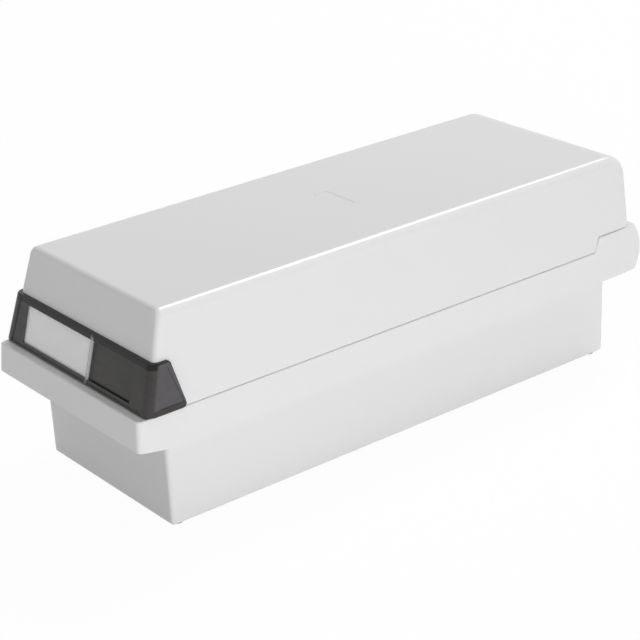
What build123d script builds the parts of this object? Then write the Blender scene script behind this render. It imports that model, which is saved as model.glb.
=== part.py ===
from build123d import *
import os
from math import atan2, cos, radians, sin, tan

# Index card box for A6 cards: a tray with a hinged hood, a label holder and a sliding support plate.
# The box stands on z = 0, centred on x = 0 and y = 0. Its front faces -Y and +X is its right side.
# Lengths are in millimetres and angles in degrees.

# Tray body
body_width = 155.0
body_length = 415.5
body_draft = 0.6
tray_wall = 2.2
floor_thickness = 2.6
body_corner_radius = 4.0
body_base_radius = 2.4
cavity_base_radius = 1.5

# Rim with a grip at each end and a raised deck at the rear
rim_height = 94.5
side_overhang = 11.5
front_overhang = 29.0
rear_overhang = 27.5
side_flare = 3.6
front_flare = 5.0
front_skirt_depth = 21.4
side_skirt_depth_front = 26.2
side_skirt_depth_rear = 25.1
rear_skirt_depth = 24.2
deck_rise = 11.0
step_setback = 22.7
step_run = 5.0
step_corner_radius = 2.0
rear_top_setback = 4.8
rear_low_setback = 5.2
rear_bulge_drop = 13.9
rim_corner_radius = 4.0
rim_edge_radius = 1.2

# Ribs on the rim that guide and carry the closed lid
guide_width = 1.6
guide_height = 2.6
guide_clearance = 1.0
guide_end_setback = 14.0
rest_pad_width = 10.0
rest_pad_inset = 30.0
rest_clearance = 0.1

# Lid
seam_gap = 0.3
lid_height = 68.4
lid_side_setback = 0.55
front_ledge = 9.05
rear_ledge = 9.7
lid_side_taper = 6.7
lid_front_taper = 15.8
lid_rear_taper = 0.4
lid_wall = 2.2
lid_side_radius = 7.0
lid_front_radius = 4.2
lid_rear_radius = 17.0
badge_width = 35.0
badge_length = 12.6
badge_corner_radius = 1.5
badge_depth = 0.2
badge_offset = 4.6

# Label holder, its card and its clear window
holder_thickness = 3.2
holder_height = 35.0
holder_side_reach_top = 20.9
holder_side_reach_low = 29.8
holder_end_radius = 3.0
holder_edge_radius = 1.2
panel_depth = 0.6
panel_rear_border = 3.0
panel_low_border = 4.5
panel_top_border = 3.5
panel_front_border = 6.0
field_border = 2.0
field_depth = 0.6
recess_left_border = 20.65
recess_right_border = 20.7
recess_height = 27.2
recess_low = 4.5
lip_thickness = 1.3
lip_cover = 1.4
slot_depth = 1.2
slot_clearance = 0.3
label_length = 84.1
label_thickness = 0.3
window_length = 85.6
window_thickness = 0.7
window_tab_width = 2.4
window_tab_rise = 2.2
clip_inset = 41.8
clip_width = 10.0
clip_thickness = 1.6
clip_hook = 1.0
clip_hook_length = 1.6

# Feet
foot_diameter = 10.0
foot_stand = 2.0
foot_seat = 0.8
foot_inset = 8.4
foot_edge_radius = 0.7
foot_stem_diameter = 4.0

# Steel hinges
hinge_inset = 38.0
hinge_width = 36.0
hinge_middle_share = 0.4
leaf_thickness = 0.6
leaf_corner_radius = 3.0
lid_leaf_height = 17.0
base_leaf_depth = 17.0
barrel_radius = 2.2
barrel_lift = 0.15
knuckle_gap = 0.3
pin_radius = 1.2
pin_clearance = 0.05
pin_head_radius = 1.9
pin_head_length = 0.6

# Rivets
rivet_spacing = 20.0
rivet_edge = 5.5
rivet_shank_radius = 1.5
rivet_head_radius = 2.7
rivet_head_height = 1.1
rivet_head_rounding = 0.9
rivet_tail_radius = 2.3
rivet_tail_height = 0.9

# Floor track and card ribs
track_slot_width = 22.0
track_slot_height = 3.6
track_lip = 2.8
track_lip_thickness = 1.8
track_web = 2.0
track_end_gap = 8.0
card_rib_width = 3.0
card_rib_inset = 23.3

# Support plate on its shoe, with a friction spring
plate_side_gap = 5.3
plate_thickness = 1.2
plate_height = 96.0
plate_lean = 8.0
plate_corner_radius = 10.0
plate_bend_radius = 2.4
plate_foot_width = 40.0
plate_front_gap = 3.0
shoe_length = 44.0
shoe_rear_gap = 6.0
slide_clearance = 0.3
spring_width = 8.0
spring_length = 22.0
spring_bow = 1.0
spring_thickness = 0.4
shoe_rivet_spacing = 34.0

# Shared fits
press_clearance = 0.05
overrun = 4.0


# Levels and places that follow from the sizes above
floor_top = foot_stand + floor_thickness
deck_height = rim_height + deck_rise
lid_edge = rim_height + seam_gap
rear_edge = deck_height + seam_gap
lid_top = lid_edge + lid_height
overall_length = body_length + front_overhang + rear_overhang
front_end = -overall_length / 2
rear_end = overall_length / 2
body_front = front_end + front_overhang
body_rear = rear_end - rear_overhang
body_middle = (body_front + body_rear) / 2
rim_half_width = body_width / 2 + side_overhang
step_foot = body_rear - step_setback
front_skirt_low = rim_height - front_skirt_depth
rear_skirt_low = rim_height - rear_skirt_depth
side_skirt_low = rim_height - side_skirt_depth_front
track_height = track_slot_height + track_lip_thickness
track_front = body_front + tray_wall + track_end_gap
track_rear = body_rear - tray_wall - track_end_gap
shoe_middle = track_rear - shoe_rear_gap - shoe_length / 2
holder_top = lid_edge + holder_height
hinge_height = deck_height + barrel_lift + barrel_radius
hinge_reach = rim_half_width - hinge_inset
plate_width = body_width - 2 * (tray_wall + plate_side_gap)


def slope(angle):
    """Run for each unit of rise on a face that leans by an angle."""
    return tan(radians(angle))


def slant(angle):
    """Distance along a level line for each unit through a face that leans by an angle."""
    return 1 / cos(radians(angle))


def rim_front(height, inset=0):
    """Y of the rim's front face, or of a face inside it by the inset."""
    return front_end + (height - front_skirt_low) * slope(front_flare) + inset


def rim_side(height, inset=0):
    """Half width of the rim."""
    return rim_half_width + (rim_height - height) * slope(side_flare) - inset


def step_face(height, inset=0):
    """Y of the slanted step up to the deck, or of a face behind it by the inset."""
    lean = atan2(step_run, deck_rise)
    return step_foot + (height - rim_height) * tan(lean) + inset / cos(lean)


def lid_front(height, inset=0):
    """Y of the lid's front face."""
    foot = rim_front(rim_height) + front_ledge
    return foot + (height - lid_edge) * slope(lid_front_taper) + inset * slant(lid_front_taper)


def lid_rear(height, inset=0):
    """Y of the lid's rear face."""
    foot = rear_end - rear_ledge
    return foot - (height - rear_edge) * slope(lid_rear_taper) - inset * slant(lid_rear_taper)


def lid_side(height, inset=0):
    """Half width of the lid."""
    foot = rim_half_width - lid_side_setback
    return foot - (height - lid_edge) * slope(lid_side_taper) - inset * slant(lid_side_taper)


hinge_rear = lid_rear(hinge_height) + press_clearance + barrel_radius


def outline(*points):
    """Flat face with straight sides."""
    return make_face(Polyline(*points, close=True))


def rounded(face, corners, radius):
    """Face with the corners nearest to the given points rounded."""
    picked = [face.vertices().sort_by_distance((*corner, 0))[0] for corner in corners]
    return fillet(picked, radius)


def across(side_face):
    """Prism through the whole width from an outline in Y and Z."""
    return extrude(Plane.YZ * side_face, overall_length, both=True)


def crossed(side_face, end_face):
    """Solid with one outline seen from the side and another seen from the front."""
    return across(side_face) & extrude(Plane.XZ * end_face, overall_length, both=True)


def trapezoid(half_low, low, half_high, high):
    """Symmetric end outline in X and Z."""
    return outline((-half_low, low), (half_low, low), (half_high, high), (-half_high, high))


def upright_edges(solid):
    """Edges that stand at the four corners, beyond the tray body's ends."""
    picked = ShapeList()
    for edge in solid.edges():
        size = edge.bounding_box().size
        beyond = edge.center().Y < body_front or edge.center().Y > body_rear
        if beyond and size.Z > size.X + size.Y:
            picked.append(edge)
    return picked


def border_edges(solid, belongs):
    """Edges between the faces that pass a test and the faces that don't."""
    inside = ShapeList(face for face in solid.faces() if belongs(face))
    outside = ShapeList(face for face in solid.faces() if not belongs(face))
    return inside.edges() & outside.edges()


def standing(width, length, height, x, y, z):
    """Block that stands on height z, centred on x and y."""
    return Pos(x, y, z) * Box(width, length, height, align=(Align.CENTER, Align.CENTER, Align.MIN))


def column(radius, height, x, y, z):
    """Upright cylinder that stands on height z."""
    place = (Align.CENTER, Align.CENTER, Align.MIN)
    return Pos(x, y, z) * Cylinder(radius, height, align=place)


# Tray

def rim_block():
    """Outer form of the rim, both grips and the deck, without its hollow."""
    front_head = (rim_front(rim_height), rim_height)
    rear_foot = (rear_end - rear_low_setback, rear_skirt_low)
    rear_bulge = (rear_end, deck_height - rear_bulge_drop)
    rear_head = (rear_end - rear_top_setback, deck_height)
    step_low = (step_face(rim_height), rim_height)
    step_high = (step_face(deck_height), deck_height)
    lower = Polyline(
        front_head,
        (rim_front(front_skirt_low), front_skirt_low),
        (body_front, side_skirt_low),
        (body_rear, rim_height - side_skirt_depth_rear),
        rear_foot,
    )
    rear = ThreePointArc(rear_foot, rear_bulge, rear_head)
    upper = Polyline(rear_head, step_high, step_low, front_head)
    side = rounded(make_face(lower + rear + upper), (step_low, step_high), step_corner_radius)
    end = trapezoid(rim_side(side_skirt_low), side_skirt_low, rim_side(deck_height), deck_height)
    block = crossed(side, end)
    block = fillet(upright_edges(block), rim_corner_radius)
    steepest_side = sin(atan2(step_run, deck_rise)) / 2
    top_edges = border_edges(block, lambda face: face.normal_at(face.center()).Z > steepest_side)
    return fillet(top_edges, rim_edge_radius)


def rim_hollow():
    """Space under the rim, open below."""
    low = side_skirt_low - overrun
    rim_ceiling = rim_height - tray_wall
    deck_ceiling = deck_height - tray_wall
    front_head = (rim_front(rim_ceiling, tray_wall), rim_ceiling)
    rear_foot = (rear_end - rear_low_setback - tray_wall, rear_skirt_low)
    rear_bulge = (rear_end - tray_wall, deck_height - rear_bulge_drop)
    rear_head = (rear_end - rear_top_setback - tray_wall, deck_ceiling)
    lower = Polyline(front_head, (rim_front(low, tray_wall), low), (rear_foot[0], low), rear_foot)
    rear = ThreePointArc(rear_foot, rear_bulge, rear_head)
    upper = Polyline(
        rear_head,
        (step_face(deck_ceiling, tray_wall), deck_ceiling),
        (step_face(rim_ceiling, tray_wall), rim_ceiling),
        front_head,
    )
    side = make_face(lower + rear + upper)
    end = trapezoid(rim_side(low, tray_wall), low, rim_side(deck_height, tray_wall), deck_height)
    hollow = crossed(side, end)
    return fillet(upright_edges(hollow), rim_corner_radius - tray_wall)


def body_block(inset, low, base_radius):
    """Drafted body up to the rim, carried on straight above the deck."""
    plan = RectangleRounded(body_width - 2 * inset, body_length - 2 * inset, body_corner_radius - inset)
    down = Plane(origin=(0, body_middle, rim_height), x_dir=(1, 0, 0), z_dir=(0, 0, -1))
    lower = extrude(down * plan, rim_height - low, taper=body_draft)
    lower = fillet(lower.faces().sort_by(Axis.Z)[0].edges(), base_radius)
    return lower, Pos(0, body_middle, rim_height) * extrude(plan, deck_rise + overrun)


def foot_places():
    """Centres of the four feet by name."""
    drop = (rim_height - foot_stand) * slope(body_draft)
    reach_x = body_width / 2 - drop - foot_inset
    reach_y = body_length / 2 - drop - foot_inset
    return {
        "front_left": (-reach_x, body_middle - reach_y),
        "front_right": (reach_x, body_middle - reach_y),
        "rear_left": (-reach_x, body_middle + reach_y),
        "rear_right": (reach_x, body_middle + reach_y),
    }


def floor_fittings():
    """Track for the support plate's shoe and ribs that carry the cards at the same height."""
    length = track_rear - track_front
    web_place = track_slot_width / 2 + track_web / 2
    lip_width = track_lip + track_web
    lip_place = track_slot_width / 2 + track_web - lip_width / 2
    lip_low = floor_top + track_slot_height
    fittings = Part()
    for side in (-1, 1):
        fittings += standing(track_web, length, track_height, side * web_place, body_middle, floor_top)
        fittings += standing(lip_width, length, track_lip_thickness, side * lip_place, body_middle, lip_low)
        rib_place = side * (body_width / 2 - tray_wall - card_rib_inset)
        fittings += standing(card_rib_width, length, track_height, rib_place, body_middle, floor_top)
    return fittings


def rim_fittings():
    """Ribs that guide the lid's side walls and pads that carry its front edge."""
    guide_front = body_front + guide_end_setback
    guide_rear = step_foot - guide_end_setback
    guide_place = lid_side(lid_edge + guide_height, lid_wall) - guide_clearance - guide_width / 2
    guide_middle = (guide_front + guide_rear) / 2
    guide_length = guide_rear - guide_front
    pad_y = lid_front(lid_edge, lid_wall / 2)
    pad_height = seam_gap - rest_clearance
    fittings = Part()
    for side in (-1, 1):
        guide_x = side * guide_place
        pad_x = side * (rim_half_width - rest_pad_inset)
        fittings += standing(guide_width, guide_length, guide_height, guide_x, guide_middle, rim_height)
        fittings += standing(rest_pad_width, lid_wall, pad_height, pad_x, pad_y, rim_height)
    return fittings


def base_tray():
    """Tray with its rim, floor track and foot seats."""
    body, body_above = body_block(0, foot_stand, body_base_radius)
    cavity, cavity_above = body_block(tray_wall, floor_top, cavity_base_radius)
    hollow = rim_hollow() - body - body_above
    tray = rim_block() + body - hollow - cavity - cavity_above
    tray += floor_fittings() + rim_fittings()
    seat_radius = foot_diameter / 2 + press_clearance
    stem_radius = foot_stem_diameter / 2 + press_clearance
    for x, y in foot_places().values():
        tray -= column(seat_radius, foot_seat, x, y, foot_stand)
        tray -= column(stem_radius, floor_thickness, x, y, foot_stand)
    for side in (-1, 1):
        for x, y in base_rivet_places(side):
            tray -= column(rivet_shank_radius + press_clearance, tray_wall, x, y, deck_height - tray_wall)
    return tray


def rubber_foot(x, y):
    """Foot with a stem that plugs into the floor."""
    foot = column(foot_diameter / 2, foot_stand + foot_seat, x, y, 0)
    foot = fillet(foot.edges().sort_by(Axis.Z)[0], foot_edge_radius)
    return foot + column(foot_stem_diameter / 2, floor_thickness - foot_seat, x, y, foot_stand + foot_seat)


# Lid

def hood(inset, low):
    """Solid hood inside the lid's skin by the inset, from a level up to its top."""
    high = lid_top - inset
    rear_head = (lid_rear(high, inset), high)
    side = outline(
        (lid_front(low, inset), low),
        (lid_front(high, inset), high),
        rear_head,
        (lid_rear(low, inset), low),
    )
    side = rounded(side, (rear_head,), lid_rear_radius - inset)
    end = trapezoid(lid_side(low, inset), low, lid_side(high, inset), high)
    solid = crossed(side, end)
    long_edges = ShapeList()
    for edge in solid.edges():
        size = edge.bounding_box().size
        middle = edge.center()
        behind_front = middle.Y > lid_front(middle.Z) + lid_side_radius
        if size.X < size.Y + size.Z and middle.Z > low + lid_side_radius and behind_front:
            long_edges.append(edge)
    solid = fillet(long_edges, lid_side_radius - inset)
    front = solid.faces().sort_by(Axis.Y)[0]
    front_edges = front.edges().filter_by(lambda edge: edge.center().Z > low + lid_front_radius)
    return fillet(front_edges, lid_front_radius - inset)


def step_notch():
    """Room for the deck and its slanted step under the lid's rear."""
    low = lid_edge - overrun
    step_low = (step_face(lid_edge, -seam_gap), lid_edge)
    step_high = (step_face(rear_edge, -seam_gap), rear_edge)
    face = outline(
        (step_low[0] - overrun, low),
        (step_low[0] - overrun, lid_edge),
        step_low,
        step_high,
        (rear_end, rear_edge),
        (rear_end, low),
    )
    return across(rounded(face, (step_low, step_high), step_corner_radius))


def front_plane(inset):
    """Plane on the sloping front, with its origin on the lid's lower edge and its Y up the slope."""
    lean = radians(lid_front_taper)
    origin = (0, lid_front(lid_edge, inset), lid_edge)
    return Plane(origin=origin, x_dir=(1, 0, 0), z_dir=(0, -cos(lean), sin(lean)))


def front_block(width, height, depth, x, up, back):
    """Block let into the holder's front, its face a distance back from it."""
    place = (Align.CENTER, Align.MIN, Align.MAX)
    return front_plane(-holder_thickness) * Pos(x, up, -back) * Box(width, height, depth, align=place)


def clip_places():
    """X of each of the holder's clips."""
    reach = lid_side(lid_edge) - clip_inset
    return (-reach, reach)


clip_up = recess_low + recess_height / 2


def rear_plane(x):
    """Plane on the lid's rear face beside a hinge, with its origin at the hinge's height and its Y up."""
    lean = radians(lid_rear_taper)
    origin = (x, lid_rear(hinge_height), hinge_height)
    return Plane(origin=origin, x_dir=(-1, 0, 0), z_dir=(0, cos(lean), sin(lean)))


def lid_cover():
    """Hood with its hollow, its step, a plain badge field, clip slots, leaf notches and rivet holes."""
    lid = hood(0, lid_edge) - hood(lid_wall, lid_edge - overrun) - step_notch()
    badge = RectangleRounded(badge_width, badge_length, badge_corner_radius)
    lid -= Pos(0, badge_offset, lid_top - badge_depth) * extrude(badge, overrun)
    slot_width = clip_width + 2 * slot_clearance
    slot_height = clip_thickness + clip_hook + 2 * slot_clearance
    slot_up = clip_up - slot_clearance
    for x in clip_places():
        lid -= front_block(slot_width, slot_height, lid_wall + overrun, x, slot_up, holder_thickness)
    notch_width = hinge_width + 2 * slot_clearance
    notch_height = leaf_thickness + slot_clearance
    notch_y = lid_rear(rear_edge, lid_wall / 2)
    for side in (-1, 1):
        notch_x = side * hinge_reach
        lid -= standing(notch_width, lid_wall + overrun, notch_height, notch_x, notch_y, deck_height)
        for place in lid_rivet_places(side):
            lid -= place * Cylinder(rivet_shank_radius + press_clearance, overrun + lid_wall)
    return lid


# Label holder

recess_left = recess_left_border - lid_side(lid_edge)
recess_right = lid_side(lid_edge) - recess_right_border
recess_width = recess_right - recess_left
recess_middle = (recess_left + recess_right) / 2
slot_left = recess_left - lip_cover
label_height = recess_height + 2 * lip_cover - 2 * slot_clearance
label_up = recess_low - lip_cover + slot_clearance
window_right = slot_left + slot_clearance + window_length


def holder_wrap():
    """Solid that the holder is cut from: the lid's low front, grown by the holder's thickness."""
    head = (lid_front(lid_edge) + holder_side_reach_top, holder_top)
    foot = (lid_front(lid_edge) + holder_side_reach_low, lid_edge)
    region = outline((front_end, lid_edge), (front_end, holder_top), head, foot)
    wrap = hood(-holder_thickness, lid_edge) & across(rounded(region, (head, foot), holder_end_radius))

    def is_skin(face):
        """True for the front, the two sides and the corners between them."""
        normal = face.normal_at(face.center())
        return abs(normal.X) + max(-normal.Y, 0) > abs(normal.Z) + max(normal.Y, 0)

    return fillet(border_edges(wrap, is_skin), holder_edge_radius)


def side_panels():
    """Shallow fields let into the holder's two side ends."""
    front = lid_front(lid_edge)
    head_rear = front + holder_side_reach_top - panel_rear_border
    foot_rear = front + holder_side_reach_low - panel_rear_border
    low = lid_edge + panel_low_border
    high = holder_top - panel_top_border
    face = outline(
        (lid_front(low) + panel_front_border, low),
        (lid_front(high) + panel_front_border, high),
        (head_rear, high),
        (foot_rear, low),
    )
    return across(face) - hood(panel_depth - holder_thickness, lid_edge)


def front_field():
    """Shallow field let into the holder's front, inside a narrow border."""
    corner = lid_front_radius + holder_thickness + field_border
    half_low = lid_side(lid_edge, -holder_thickness) - corner
    half_high = lid_side(holder_top, -holder_thickness) - corner
    high = holder_height * slant(lid_front_taper) - field_border
    face = trapezoid(half_low, field_border, half_high, high)
    return front_plane(-holder_thickness) * Pos(0, 0, -field_depth) * extrude(face, overrun)


def window_tabs(clearance, back):
    """Tabs at the window's right end, or with a clearance the notches that take them."""
    width = window_tab_width + 2 * clearance
    x = window_right - window_tab_width / 2
    height = label_height + 2 * window_tab_rise + 2 * clearance
    up = label_up - window_tab_rise - clearance
    depth = lip_thickness + window_thickness + press_clearance - back
    return front_block(width, height, depth, x, up, back)


def label_holder():
    """Wrap with a label recess, the slot behind its lips, notches for the window's tabs, and clips."""
    holder = holder_wrap() - side_panels() - front_field() - hood(-press_clearance, lid_edge - overrun)
    recess_depth = lip_thickness + overrun
    recess = front_block(recess_width, recess_height, recess_depth, recess_middle, recess_low, -overrun)
    slot_width = recess_width + 2 * lip_cover
    slot_height = recess_height + 2 * lip_cover
    slot_low = recess_low - lip_cover
    slot = front_block(slot_width, slot_height, slot_depth, recess_middle, slot_low, lip_thickness)
    holder = holder - recess - slot - window_tabs(slot_clearance, -overrun)
    back = holder_thickness - press_clearance
    tongue_length = lid_wall + press_clearance + slot_clearance + clip_hook_length
    hook_up = clip_up + clip_thickness
    hook_back = back + tongue_length - clip_hook_length
    for x in clip_places():
        holder += front_block(clip_width, clip_thickness, tongue_length, x, clip_up, back)
        holder += front_block(clip_width, clip_hook, clip_hook_length, x, hook_up, hook_back)
    return holder


def label_card():
    """Card at the left end of the slot, flat against its back."""
    x = slot_left + slot_clearance + label_length / 2
    back = lip_thickness + slot_depth - press_clearance - label_thickness
    return front_block(label_length, label_height, label_thickness, x, label_up, back)


def label_window():
    """Clear sheet in front of the card, behind the lips, with tabs that lock it in its notches."""
    x = slot_left + slot_clearance + window_length / 2
    back = lip_thickness + press_clearance
    sheet = front_block(window_length, label_height, window_thickness, x, label_up, back)
    return sheet + window_tabs(0, press_clearance)


# Hinges and rivets

def rivet(grip, tailed=True):
    """Rivet along Z with its head's seat at zero and its shank below."""
    head = column(rivet_head_radius, rivet_head_height, 0, 0, 0)
    head = fillet(head.edges().sort_by(Axis.Z)[-1], rivet_head_rounding)
    body = head + column(rivet_shank_radius, grip, 0, 0, -grip)
    if tailed:
        body += column(rivet_tail_radius, rivet_tail_height, 0, 0, -grip - rivet_tail_height)
    return body


def base_rivet_places(side):
    """X and Y of the rivets that hold a base leaf on the deck."""
    middle = side * hinge_reach
    y = hinge_rear - base_leaf_depth + rivet_edge
    return [(middle + half * rivet_spacing / 2, y) for half in (-1, 1)]


def lid_rivet_places(side):
    """Places on the lid's rear face of the rivets that hold a lid leaf."""
    plane = rear_plane(side * hinge_reach)
    up = lid_leaf_height - rivet_edge
    return [plane * Pos(half * rivet_spacing / 2, up, 0) for half in (-1, 1)]


def barrel(radius, length, x):
    """Cylinder on the hinge axis, centred on x."""
    return Pos(x, hinge_rear, hinge_height) * Rot(0, 90, 0) * Cylinder(radius, length)


middle_length = hinge_width * hinge_middle_share
end_length = (hinge_width - middle_length) / 2 - knuckle_gap
end_offset = (hinge_width - end_length) / 2
leaf_clear = barrel_radius + knuckle_gap


def base_leaf(side):
    """Flat leaf on the deck with a knuckle at each end."""
    x = side * hinge_reach
    front = hinge_rear - base_leaf_depth
    plate_length = base_leaf_depth - leaf_clear
    plate = standing(hinge_width, plate_length, leaf_thickness, x, front + plate_length / 2, deck_height)
    plate = fillet(plate.edges().filter_by(Axis.Z).group_by(Axis.Y)[0], leaf_corner_radius)
    strap_y = hinge_rear - leaf_clear / 2
    for half in (-1, 1):
        knuckle = x + half * end_offset
        plate += standing(end_length, leaf_clear, leaf_thickness, knuckle, strap_y, deck_height)
        plate += barrel(barrel_radius, end_length, knuckle)
    plate -= barrel(pin_radius + pin_clearance, hinge_width, x)
    for rivet_x, rivet_y in base_rivet_places(side):
        plate -= column(rivet_shank_radius + press_clearance, leaf_thickness, rivet_x, rivet_y, deck_height)
    return plate


def lid_leaf(side):
    """Leaf on the lid's rear face with one knuckle in the middle."""
    x = side * hinge_reach
    place = (Align.CENTER, Align.MIN, Align.MIN)
    plate = Box(hinge_width, lid_leaf_height - leaf_clear, leaf_thickness, align=place)
    plate = fillet(plate.edges().filter_by(Axis.Z).group_by(Axis.Y)[-1], leaf_corner_radius)
    plate = Pos(0, leaf_clear, press_clearance) * plate
    plate += Pos(0, 0, press_clearance) * Box(middle_length, leaf_clear, leaf_thickness, align=place)
    leaf = rear_plane(x) * plate + barrel(barrel_radius, middle_length, x)
    leaf -= barrel(pin_radius + pin_clearance, hinge_width, x)
    for rivet_place in lid_rivet_places(side):
        leaf -= rivet_place * Cylinder(rivet_shank_radius + press_clearance, overrun)
    return leaf


def hinge_pin(side):
    """Pin with a head at each end of the barrel."""
    x = side * hinge_reach
    pin = barrel(pin_radius, hinge_width, x)
    for half in (-1, 1):
        pin += barrel(pin_head_radius, pin_head_length, x + half * (hinge_width + pin_head_length) / 2)
    return pin


def base_rivets(side):
    """Two rivets through a base leaf and the deck."""
    grip = leaf_thickness + tray_wall
    top = deck_height + leaf_thickness
    return Compound([Pos(x, y, top) * rivet(grip) for x, y in base_rivet_places(side)])


def lid_rivets(side):
    """Two rivets through a lid leaf and the lid's rear wall."""
    seat = leaf_thickness + press_clearance
    return Compound([place * Pos(0, 0, seat) * rivet(seat + lid_wall) for place in lid_rivet_places(side)])


# Support plate

shoe_top = floor_top + track_height + slide_clearance
shoe_low = floor_top + slide_clearance
pocket_ceiling = floor_top + 2 * press_clearance + spring_bow + spring_thickness


def shoe_rivet_places():
    """Y of the rivets that join the plate and its shoe."""
    return (shoe_middle - shoe_rivet_spacing / 2, shoe_middle + shoe_rivet_spacing / 2)


def slider_shoe():
    """T-shaped shoe that runs in the track, with a pocket for the spring."""
    base_width = track_slot_width - 2 * slide_clearance
    base_height = track_slot_height - 2 * slide_clearance
    neck_width = track_slot_width - 2 * track_lip - 2 * slide_clearance
    shoe = standing(base_width, shoe_length, base_height, 0, shoe_middle, shoe_low)
    shoe += standing(neck_width, shoe_length, shoe_top - shoe_low, 0, shoe_middle, shoe_low)
    pocket_width = spring_width + 2 * slide_clearance
    pocket_length = spring_length + 2 * slide_clearance
    shoe -= standing(pocket_width, pocket_length, pocket_ceiling - floor_top, 0, shoe_middle, floor_top)
    for y in shoe_rivet_places():
        shoe -= column(rivet_shank_radius + press_clearance, shoe_top - floor_top, 0, y, floor_top)
    return shoe


def friction_spring():
    """Bowed strip between the shoe and the floor."""
    low = floor_top + press_clearance
    half = spring_length / 2
    front, rear = shoe_middle - half, shoe_middle + half
    ends = low + spring_bow
    under = ThreePointArc((front, ends), (shoe_middle, low), (rear, ends))
    over = Pos(0, spring_thickness) * under
    sides = Line(under @ 0, over @ 0) + Line(under @ 1, over @ 1)
    return extrude(Plane.YZ * make_face(under + over + sides), spring_width / 2, both=True)


def support_plate():
    """Bent plate that leans back, with a foot on the shoe."""
    lean = radians(plate_lean)
    front = shoe_middle - shoe_length / 2 - plate_front_gap
    foot_rear = shoe_middle + shoe_length / 2
    top = shoe_top + plate_height * cos(lean)
    bend = (front, shoe_top)
    head = (front + plate_height * sin(lean), top)
    head_back = (head[0] + plate_thickness * cos(lean), head[1] - plate_thickness * sin(lean))
    inner_rise = plate_thickness * (1 + sin(lean))
    foot_top = shoe_top + plate_thickness
    inner_bend = (front + plate_thickness * cos(lean) + inner_rise * tan(lean), foot_top)
    side = outline(bend, head, head_back, inner_bend, (foot_rear, foot_top), (foot_rear, shoe_top))
    side = rounded(side, (bend,), plate_bend_radius)
    side = rounded(side, (inner_bend,), plate_bend_radius - plate_thickness)
    half = plate_width / 2
    end = outline((-half, shoe_top), (half, shoe_top), (half, top), (-half, top))
    end = rounded(end, ((half, top), (-half, top)), plate_corner_radius)
    plate = crossed(side, end)
    wing = (plate_width - plate_foot_width) / 2
    wing_front = front + plate_bend_radius + plate_thickness
    wing_length = foot_rear - wing_front + overrun
    for side_sign in (-1, 1):
        x = side_sign * (plate_foot_width + wing) / 2
        plate -= standing(wing, wing_length, plate_bend_radius, x, wing_front + wing_length / 2, shoe_top)
    for y in shoe_rivet_places():
        plate -= column(rivet_shank_radius + press_clearance, plate_thickness, 0, y, shoe_top)
    return plate


def slider_rivets():
    """Two rivets that join the plate and its shoe, flush under the shoe."""
    grip = shoe_top + plate_thickness - shoe_low
    top = shoe_top + plate_thickness
    return Compound([Pos(0, y, top) * rivet(grip, tailed=False) for y in shoe_rivet_places()])


def all_pieces():
    """Every piece of the box by node name."""
    pieces = {
        "base_tray": base_tray(),
        "lid_cover": lid_cover(),
        "label_holder": label_holder(),
        "label_card": label_card(),
        "label_window": label_window(),
        "support_plate": support_plate(),
        "slider_shoe": slider_shoe(),
        "friction_spring": friction_spring(),
        "slider_rivets": slider_rivets(),
    }
    for name, place in foot_places().items():
        pieces["foot_" + name] = rubber_foot(*place)
    for name, side in (("hinge_left", -1), ("hinge_right", 1)):
        pieces[name + "_base_leaf"] = base_leaf(side)
        pieces[name + "_lid_leaf"] = lid_leaf(side)
        pieces[name + "_pin"] = hinge_pin(side)
        pieces[name + "_base_rivets"] = base_rivets(side)
        pieces[name + "_lid_rivets"] = lid_rivets(side)
    return pieces


os.makedirs("parts", exist_ok=True)
for node, shape in all_pieces().items():
    export_step(shape, "parts/" + node + ".step")
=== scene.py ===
"""Looks of the index card box: its finishes, floor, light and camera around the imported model."""

import math

import bpy
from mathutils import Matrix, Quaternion, Vector


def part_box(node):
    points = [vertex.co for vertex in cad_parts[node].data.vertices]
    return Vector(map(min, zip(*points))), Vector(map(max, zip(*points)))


# Lengths are in metres and angles in degrees.
millimetre = 0.001

# Camera at the photograph's viewing angle
camera_place = Vector((1.07910, -0.83716, 0.66910))
camera_azimuth = 52.664
camera_elevation = 23.752
camera_roll = -2.755
camera_lens = 111.86

# Floor and surroundings
floor_size = 14.0
floor_colour = (0.88, 0.88, 0.88, 1)
floor_shown_white = 0.96
surround_colour = (1.0, 1.0, 0.965, 1)
surround_strength = 0.24

# Soft lamps. The side lamp isn't mirrored in shiny faces, which keeps the box's upright corners soft.
white_light = (1.0, 1.0, 1.0)
cool_light = (0.985, 0.985, 1.0)
lamps = {
    "side_lamp": dict(
        place=(2.4, -0.6, 0.24), target=(0.0, 0.0, 0.07),
        width=2.4, height=0.44, power=39.0, colour=cool_light, mirrored=False,
    ),
    "top_lamp": dict(
        place=(0.0, -0.5, 2.6), target=(0.0, 0.0, 0.10),
        width=3.0, height=3.0, power=18.0, colour=white_light, mirrored=True,
    ),
    "rear_lamp": dict(
        place=(-0.76, 2.16, 3.3), target=(0.0, 0.0, 0.10),
        width=1.1, height=1.1, power=81.0, colour=white_light, mirrored=True,
    ),
}

# Colours as linear values
light_grey = (0.705, 0.705, 0.711)
smoke = (0.046, 0.044, 0.042)
# Painted light: paler smoke for the holder's side panels, standing in for the lit lid wall showing through.
painted_lit_side_smoke = (0.088, 0.083, 0.088)
# Painted shade: near-black smoke for the holder's top band, standing in for the shadowed gap behind it.
painted_band_shade = (0.010, 0.0095, 0.009)
card_white = (0.93, 0.92, 0.93)
plate_grey = (0.36, 0.36, 0.355)
zinc = (0.62, 0.62, 0.60)
spring_blue = (0.42, 0.43, 0.45)
rubber_black = (0.016, 0.016, 0.016)
clear_tint = (0.90, 0.91, 0.92)
# Painted highlight and shade: grey veil over the clear sheet's right end, standing in for its rounded end.
painted_veil_tint = (0.36, 0.36, 0.365)

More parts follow.
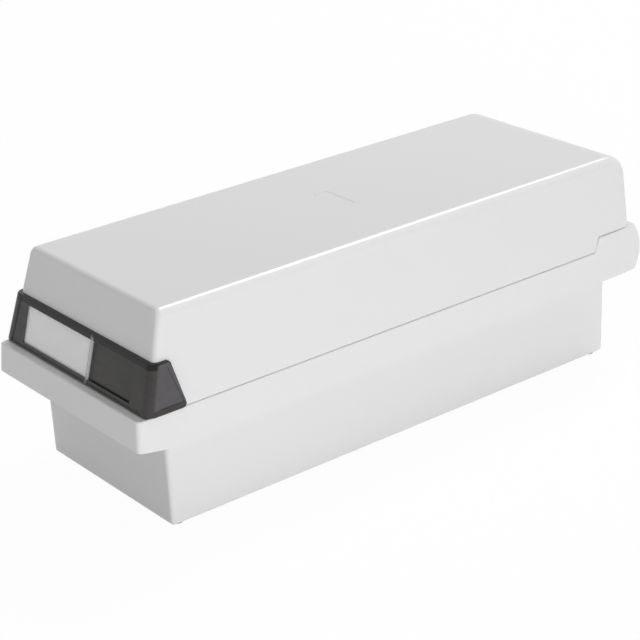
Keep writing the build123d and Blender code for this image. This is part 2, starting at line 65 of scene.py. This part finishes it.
# Clear sheet's right end under a painted grey veil (painted highlight and shade), the holder's low border
# left out of the painted light on its side panels, and the holder's top band in painted shade
painted_veil_width = 5 * millimetre
holder_low_border = 4.5 * millimetre
painted_shade_band_height = 4.2 * millimetre
border_blur = 0.3 * millimetre

# Sideways part of a normal from which the holder's faces count as side panels, which are painted paler as
# painted light
painted_side_facing = (0.90, 0.98)

# Sizes of the patterns in the finishes
moulding_grain = 0.45 * millimetre
moulding_flow = 38 * millimetre
smoke_streaks = 7 * millimetre
smoke_ripple = 1.2 * millimetre
paper_fibres = 0.5 * millimetre
sheet_ripple = 6 * millimetre
paint_peel = 0.9 * millimetre
paint_clouds = 14 * millimetre
brush_lines = 0.35 * millimetre
rubber_grain = 0.4 * millimetre

# Heights of their reliefs
moulding_relief = 0.02 * millimetre
smoke_relief = 0.012 * millimetre
paper_relief = 0.02 * millimetre
paint_relief = 0.03 * millimetre
brush_relief = 0.01 * millimetre
rubber_relief = 0.03 * millimetre

# How far the patterns are drawn out along each axis
flow_stretch = (1, 3, 1)
streak_stretch = (5, 1, 1)
fibre_stretch = (3, 1, 1)
brushed_across = (12, 1, 1)
brushed_along = (1, 12, 1)

# Roughness of each finish where it is smoothest and where it is roughest
moulded_roughness = (0.276, 0.280)
smoked_roughness = (0.24, 0.28)
card_roughness = (0.75, 0.85)
sheet_roughness = (0.06, 0.10)
paint_roughness = (0.36, 0.46)
zinc_roughness = (0.28, 0.40)
spring_roughness = (0.22, 0.32)
rubber_roughness = (0.70, 0.85)

# Mirror strength of the smoked and the clear plastic, and how opaque the clear sheet is, bare and under the
# painted grey veil at its right end
smoked_mirror = 0.22
sheet_mirror = 0.2
sheet_opacity = (0.10, 0.32)

# Ranges for mapping one number to another: a share, and the middle or nearly all of a noise
whole_share = (0, 1)
noise_middle = (0.3, 0.7)
noise_whole = (0.1, 0.9)


class Finish:
    """A material under construction, with short calls for its nodes."""

    def __init__(self, name):
        self.material = bpy.data.materials.new(name)
        self.material.use_nodes = True
        self.tree = self.material.node_tree
        self.shader = self.tree.nodes["Principled BSDF"]
        self.spot = self.node("ShaderNodeTexCoord").outputs
        self.place = self.spot["Object"]

    def node(self, kind, **inputs):
        """New node with some of its inputs set or linked."""
        made = self.tree.nodes.new(kind)
        for name, value in inputs.items():
            self.give(made.inputs[name], value)
        return made

    def give(self, socket, value):
        """Links an output to a socket, or sets the socket's own value."""
        if isinstance(value, bpy.types.NodeSocket):
            self.tree.links.new(value, socket)
        else:
            socket.default_value = value

    def set(self, **values):
        """Values or links for the shader, by socket name with _ for a space."""
        for name, value in values.items():
            self.give(self.shader.inputs[name.replace("_", " ")], value)

    def noise(self, size, detail=2.0, stretch=(1, 1, 1)):
        """Noise with features of a size, drawn out along an axis where stretch is over 1."""
        scaled = self.node("ShaderNodeMapping", Vector=self.place)
        scaled.inputs["Scale"].default_value = [1 / s for s in stretch]
        spot = scaled.outputs["Vector"]
        return self.node("ShaderNodeTexNoise", Vector=spot, Scale=1 / size, Detail=detail).outputs["Fac"]

    def between(self, pattern, ends, span=noise_middle):
        """Number that runs from one end to the other as a pattern goes through a span."""
        made = self.node("ShaderNodeMapRange", Value=pattern)
        for name, value in zip(("From Min", "From Max", "To Min", "To Max"), (*span, *ends)):
            made.inputs[name].default_value = value
        return made.outputs["Result"]

    def above(self, height, level):
        """Share that is 1 above a level, with a slightly blurred border."""
        return self.between(height, whole_share, (level - border_blur, level + border_blur))

    def along(self, axis, vector):
        """One axis of a vector."""
        return self.node("ShaderNodeSeparateXYZ", Vector=vector).outputs[axis]

    def worked_out(self, operation, *values):
        """Result of one arithmetic operation."""
        made = self.tree.nodes.new("ShaderNodeMath")
        made.operation = operation
        for socket, value in zip(made.inputs, values):
            self.give(socket, value)
        return made.outputs["Value"]

    def mixed(self, share, first, second):
        """Colour between two colours, each a plain colour or a link."""
        made = self.tree.nodes.new("ShaderNodeMix")
        made.data_type = "RGBA"
        self.give(made.inputs["Factor"], share)
        self.give(made.inputs["A"], first)
        self.give(made.inputs["B"], second)
        return made.outputs["Result"]

    def tinted(self, pattern, colour, change):
        """Colour that darkens and lightens by a share as a pattern varies."""
        dark = (*(c * (1 - change) for c in colour), 1)
        light = (*(c * (1 + change) for c in colour), 1)
        return self.mixed(self.between(pattern, whole_share), dark, light)

    def bumped(self, pattern, height, strength):
        """Normal that follows a pattern of a real height."""
        made = self.node("ShaderNodeBump", Height=pattern, Strength=strength, Distance=height)
        return made.outputs["Normal"]


def moulded_grey():
    """Light grey moulded plastic with a fine eroded grain and a sheen that varies faintly with its flow."""
    finish = Finish("moulded_grey")
    grain = finish.noise(moulding_grain, detail=3)
    flow = finish.noise(moulding_flow, stretch=flow_stretch)
    finish.set(
        Base_Color=(*light_grey, 1),
        Roughness=finish.between(flow, moulded_roughness, noise_whole),
        Normal=finish.bumped(grain, moulding_relief, strength=0.05),
    )
    return finish.material


def smoked(low_edge, top_edge):
    """Dark smoked plastic with flow streaks; its side panels are painted paler as painted light from the
    lit lid wall behind, and its top band is painted near-black as painted shade.
    """
    finish = Finish("smoked")
    streaks = finish.noise(smoke_streaks, stretch=streak_stretch)
    sideways = finish.worked_out("ABSOLUTE", finish.along("X", finish.spot["Normal"]))
    height = finish.along("Z", finish.place)
    # Painted light: side-facing faces above the low border are drawn in paler smoke.
    on_lit_side = finish.between(sideways, whole_share, painted_side_facing)
    in_painted_light = finish.worked_out("MULTIPLY", on_lit_side, finish.above(height, low_edge + holder_low_border))
    # Painted shade: the holder's top band is drawn near-black.
    in_painted_shade = finish.above(height, top_edge - painted_shade_band_height)
    plain = finish.tinted(streaks, smoke, change=0.10)
    front_with_painted_shade = finish.mixed(in_painted_shade, plain, (*painted_band_shade, 1))
    painted_lit_side = finish.tinted(streaks, painted_lit_side_smoke, change=0.06)
    finish.set(
        Base_Color=finish.mixed(in_painted_light, front_with_painted_shade, painted_lit_side),
        Roughness=finish.between(streaks, smoked_roughness, noise_whole),
        Specular_IOR_Level=smoked_mirror,
        Normal=finish.bumped(finish.noise(smoke_ripple), smoke_relief, strength=0.1),
    )
    return finish.material


def card():
    """White card with paper fibres."""
    finish = Finish("card")
    fibres = finish.noise(paper_fibres, detail=4, stretch=fibre_stretch)
    finish.set(
        Base_Color=finish.tinted(fibres, card_white, change=0.02),
        Roughness=finish.between(fibres, card_roughness),
        Normal=finish.bumped(fibres, paper_relief, strength=0.6),
    )
    return finish.material


def clear_sheet(right_end):
    """Clear plastic sheet with a faint haze, and a grey veil painted over its right end as painted
    highlight and shade.
    """
    finish = Finish("clear_sheet")
    across = finish.along("X", finish.place)
    # Painted highlight and shade: a grey veil thickens over the sheet's right end.
    painted_veil = finish.between(across, whole_share, (right_end - painted_veil_width, right_end))
    finish.set(
        Base_Color=finish.mixed(painted_veil, (*clear_tint, 1), (*painted_veil_tint, 1)),
        Roughness=finish.between(finish.noise(sheet_ripple), sheet_roughness),
        Specular_IOR_Level=sheet_mirror,
        Alpha=finish.between(painted_veil, sheet_opacity, whole_share),
    )
    return finish.material


def painted_plate():
    """Grey paint on steel, with a slight orange peel."""
    finish = Finish("painted_plate")
    peel = finish.noise(paint_peel)
    finish.set(
        Base_Color=finish.tinted(finish.noise(paint_clouds), plate_grey, change=0.02),
        Roughness=finish.between(peel, paint_roughness),
        Normal=finish.bumped(peel, paint_relief, strength=0.5),
    )
    return finish.material


def brushed_metal(name, colour, roughness, stretch):
    """Bare metal with fine lines along one axis."""
    finish = Finish(name)
    lines = finish.noise(brush_lines, detail=3, stretch=stretch)
    finish.set(
        Base_Color=finish.tinted(lines, colour, change=0.06),
        Metallic=1.0,
        Roughness=finish.between(lines, roughness),
        Normal=finish.bumped(lines, brush_relief, strength=0.5),
    )
    return finish.material


def rubber():
    """Black rubber with a dull grain."""
    finish = Finish("rubber")
    grain = finish.noise(rubber_grain, detail=3)
    finish.set(
        Base_Color=finish.tinted(grain, rubber_black, change=0.15),
        Roughness=finish.between(grain, rubber_roughness),
        Normal=finish.bumped(grain, rubber_relief, strength=0.6),
    )
    return finish.material


def dress(nodes):
    """Gives every piece its finish by its node's name."""
    grey = moulded_grey()
    hinge = brushed_metal("zinc_plate", zinc, zinc_roughness, brushed_across)
    spring = brushed_metal("spring_steel", spring_blue, spring_roughness, brushed_along)
    black = rubber()
    holder_low, holder_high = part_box("label_holder")
    window_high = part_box("label_window")[1]
    finishes = {
        "base_tray": grey,
        "lid_cover": grey,
        "slider_shoe": grey,
        "label_holder": smoked(holder_low[2], holder_high[2]),
        "label_card": card(),
        "label_window": clear_sheet(window_high[0]),
        "support_plate": painted_plate(),
        "friction_spring": spring,
        "slider_rivets": spring,
    }
    for name, piece in nodes.items():
        if name.startswith("foot_"):
            finish = black
        elif name.startswith("hinge_"):
            finish = hinge
        else:
            finish = finishes[name]
        piece.data.materials.clear()
        piece.data.materials.append(finish)


def seen_share(tree):
    """Output that is 1 for the rays that show the surroundings: seen, mirrored or through glass."""
    path = tree.nodes.new("ShaderNodeLightPath")
    total = path.outputs["Is Camera Ray"]
    for name in ("Is Glossy Ray", "Is Transmission Ray"):
        larger = tree.nodes.new("ShaderNodeMath")
        larger.operation = "MAXIMUM"
        tree.links.new(total, larger.inputs[0])
        tree.links.new(path.outputs[name], larger.inputs[1])
        total = larger.outputs[0]
    return total


def build_floor():
    """Pale floor that shows nearly white and keeps the box's shadow."""
    mesh = bpy.data.meshes.new("floor")
    half = floor_size / 2
    corners = [(-half, -half, 0), (half, -half, 0), (half, half, 0), (-half, half, 0)]
    mesh.from_pydata(corners, [], [(0, 1, 2, 3)])
    floor = bpy.data.objects.new("floor", mesh)
    bpy.context.scene.collection.objects.link(floor)
    material = bpy.data.materials.new("pale_floor")
    material.use_nodes = True
    tree = material.node_tree
    tree.nodes.clear()
    matte = tree.nodes.new("ShaderNodeBsdfDiffuse")
    matte.inputs["Color"].default_value = floor_colour
    white = tree.nodes.new("ShaderNodeEmission")
    share = tree.nodes.new("ShaderNodeMath")
    share.operation = "MULTIPLY"
    share.inputs[1].default_value = floor_shown_white
    tree.links.new(seen_share(tree), share.inputs[0])
    mixed = tree.nodes.new("ShaderNodeMixShader")
    tree.links.new(share.outputs[0], mixed.inputs["Fac"])
    tree.links.new(matte.outputs[0], mixed.inputs[1])
    tree.links.new(white.outputs[0], mixed.inputs[2])
    output = tree.nodes.new("ShaderNodeOutputMaterial")
    tree.links.new(mixed.outputs[0], output.inputs["Surface"])
    mesh.materials.append(material)


def build_surroundings():
    """Soft even light from all round that shows as white."""
    world = bpy.data.worlds.new("surroundings")
    world.use_nodes = True
    bpy.context.scene.world = world
    tree = world.node_tree
    soft = tree.nodes["Background"]
    soft.inputs["Color"].default_value = surround_colour
    soft.inputs["Strength"].default_value = surround_strength
    white = tree.nodes.new("ShaderNodeBackground")
    white.inputs["Color"].default_value = (1, 1, 1, 1)
    mixed = tree.nodes.new("ShaderNodeMixShader")
    tree.links.new(seen_share(tree), mixed.inputs["Fac"])
    tree.links.new(soft.outputs[0], mixed.inputs[1])
    tree.links.new(white.outputs[0], mixed.inputs[2])
    tree.links.new(mixed.outputs[0], tree.nodes["World Output"].inputs["Surface"])


def add_lamp(name, place, target, width, height, power, colour, mirrored):
    """Rectangular soft lamp that faces a target, and shows in shiny faces where it is mirrored."""
    data = bpy.data.lights.new(name, "AREA")
    data.shape = "RECTANGLE"
    data.size = width
    data.size_y = height
    data.energy = power
    data.color = colour
    lamp = bpy.data.objects.new(name, data)
    lamp.location = place
    lamp.rotation_mode = "QUATERNION"
    lamp.rotation_quaternion = (Vector(target) - Vector(place)).to_track_quat("-Z", "Y")
    lamp.visible_glossy = mirrored
    bpy.context.scene.collection.objects.link(lamp)


def add_camera():
    """Camera turned by its azimuth, elevation and roll."""
    azimuth = math.radians(camera_azimuth)
    elevation = math.radians(camera_elevation)
    ahead = Vector((
        -math.sin(azimuth) * math.cos(elevation),
        math.cos(azimuth) * math.cos(elevation),
        -math.sin(elevation),
    ))
    data = bpy.data.cameras.new("camera")
    data.lens = camera_lens
    camera = bpy.data.objects.new("camera", data)
    camera.location = camera_place
    camera.rotation_mode = "QUATERNION"
    roll = Quaternion((0, 0, 1), math.radians(camera_roll))
    camera.rotation_quaternion = ahead.to_track_quat("-Z", "Y") @ roll
    bpy.context.scene.collection.objects.link(camera)
    bpy.context.scene.camera = camera


bpy.ops.wm.read_factory_settings(use_empty=True)
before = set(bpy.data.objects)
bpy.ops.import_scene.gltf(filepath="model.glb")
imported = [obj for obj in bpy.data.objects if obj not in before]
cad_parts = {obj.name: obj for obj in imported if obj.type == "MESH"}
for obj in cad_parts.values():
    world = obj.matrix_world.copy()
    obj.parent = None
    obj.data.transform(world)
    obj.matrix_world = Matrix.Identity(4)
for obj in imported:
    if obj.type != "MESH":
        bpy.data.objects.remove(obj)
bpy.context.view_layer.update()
dress(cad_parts)
build_floor()
build_surroundings()
for lamp_name, settings in lamps.items():
    add_lamp(lamp_name, **settings)
add_camera()
bpy.context.scene.view_settings.view_transform = "Standard"
